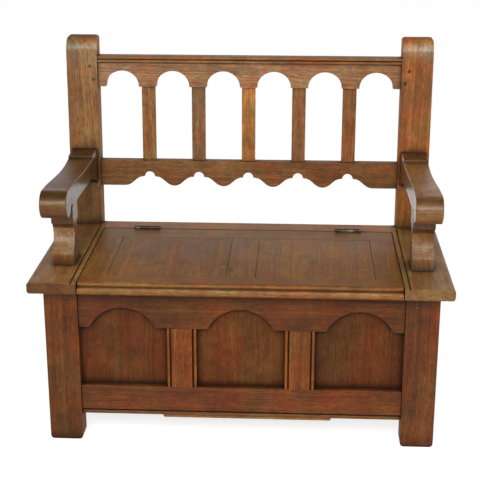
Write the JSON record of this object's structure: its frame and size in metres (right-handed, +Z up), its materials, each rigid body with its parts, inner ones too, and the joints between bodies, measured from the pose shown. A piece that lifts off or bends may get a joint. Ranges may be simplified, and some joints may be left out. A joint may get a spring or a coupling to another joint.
{
  "type": "settle bench",
  "caption": "Oak settle bench: panelled storage box on legs with a hinged lid as its seat, scrolled arms and a slatted arcaded back.",
  "frame": {"origin": "on the floor, under the middle of the bench's bounding box", "axes": "+X along the bench to the right as seen from the front, +Y towards the back, +Z up"},
  "size_m": [1.056, 0.5558, 0.989],
  "materials": {
    "frame_oak": "waxed, semi-gloss",
    "panel_oak": "waxed, satin",
    "seat_oak": "waxed and worn, semi-gloss",
    "arm_oak": "polished by hands, gloss",
    "inside_oak": "bare, matt",
    "hinge_iron": "dark, matt"
  },
  "bodies": {
    "bench": {"arm_left": "arm_oak", "arm_right": "arm_oak", "arm_support_left": "arm_oak", "arm_support_right": "arm_oak", "back_post_left": "frame_oak", "back_post_right": "frame_oak", "back_slat_1": "frame_oak", "back_slat_2": "frame_oak", "back_slat_3": "frame_oak", "back_slat_4": "frame_oak", "back_slat_5": "frame_oak", "box_floor": "inside_oak", "crest_rail": "frame_oak", "floor_batten": "inside_oak", "front_arched_rail": "frame_oak", "front_bottom_rail": "frame_oak", "front_leg_left": "frame_oak", "front_leg_right": "frame_oak", "front_muntin_left": "frame_oak", "front_muntin_right": "frame_oak", "front_panel_left": "panel_oak", "front_panel_middle": "panel_oak", "front_panel_right": "panel_oak", "hinge_fixed_leaf_left": "hinge_iron", "hinge_fixed_leaf_right": "hinge_iron", "hinge_pin_left": "hinge_iron", "hinge_pin_right": "hinge_iron", "leg_peg_left_1": "frame_oak", "leg_peg_left_2": "frame_oak", "leg_peg_left_3": "frame_oak", "leg_peg_left_4": "frame_oak", "leg_peg_right_1": "frame_oak", "leg_peg_right_2": "frame_oak", "leg_peg_right_3": "frame_oak", "leg_peg_right_4": "frame_oak", "mid_rail": "frame_oak", "rear_bottom_rail": "frame_oak", "rear_muntin": "frame_oak", "rear_panel_left": "panel_oak", "rear_panel_right": "panel_oak", "rear_top_rail": "frame_oak", "seat_back_strip": "seat_oak", "seat_end_board_left": "seat_oak", "seat_end_board_right": "seat_oak", "side_bottom_rail_left": "frame_oak", "side_bottom_rail_right": "frame_oak", "side_panel_left": "panel_oak", "side_panel_right": "panel_oak", "side_top_rail_left": "frame_oak", "side_top_rail_right": "frame_oak"},
    "lid": {"hinge_moving_leaf_left": "hinge_iron", "hinge_moving_leaf_right": "hinge_iron", "lid_back_rail": "seat_oak", "lid_front_rail": "seat_oak", "lid_muntin": "seat_oak", "lid_panel_left": "seat_oak", "lid_panel_right": "seat_oak", "lid_stile_left": "seat_oak", "lid_stile_right": "seat_oak"}
  },
  "joints": [
    {"name": "lid_hinge", "type": "hinge", "parent": "bench", "child": "lid", "pos_m": [0, 0.16614, 0.465], "axis": [-1, 0, 0], "range_deg": [0, 98]}
  ]
}
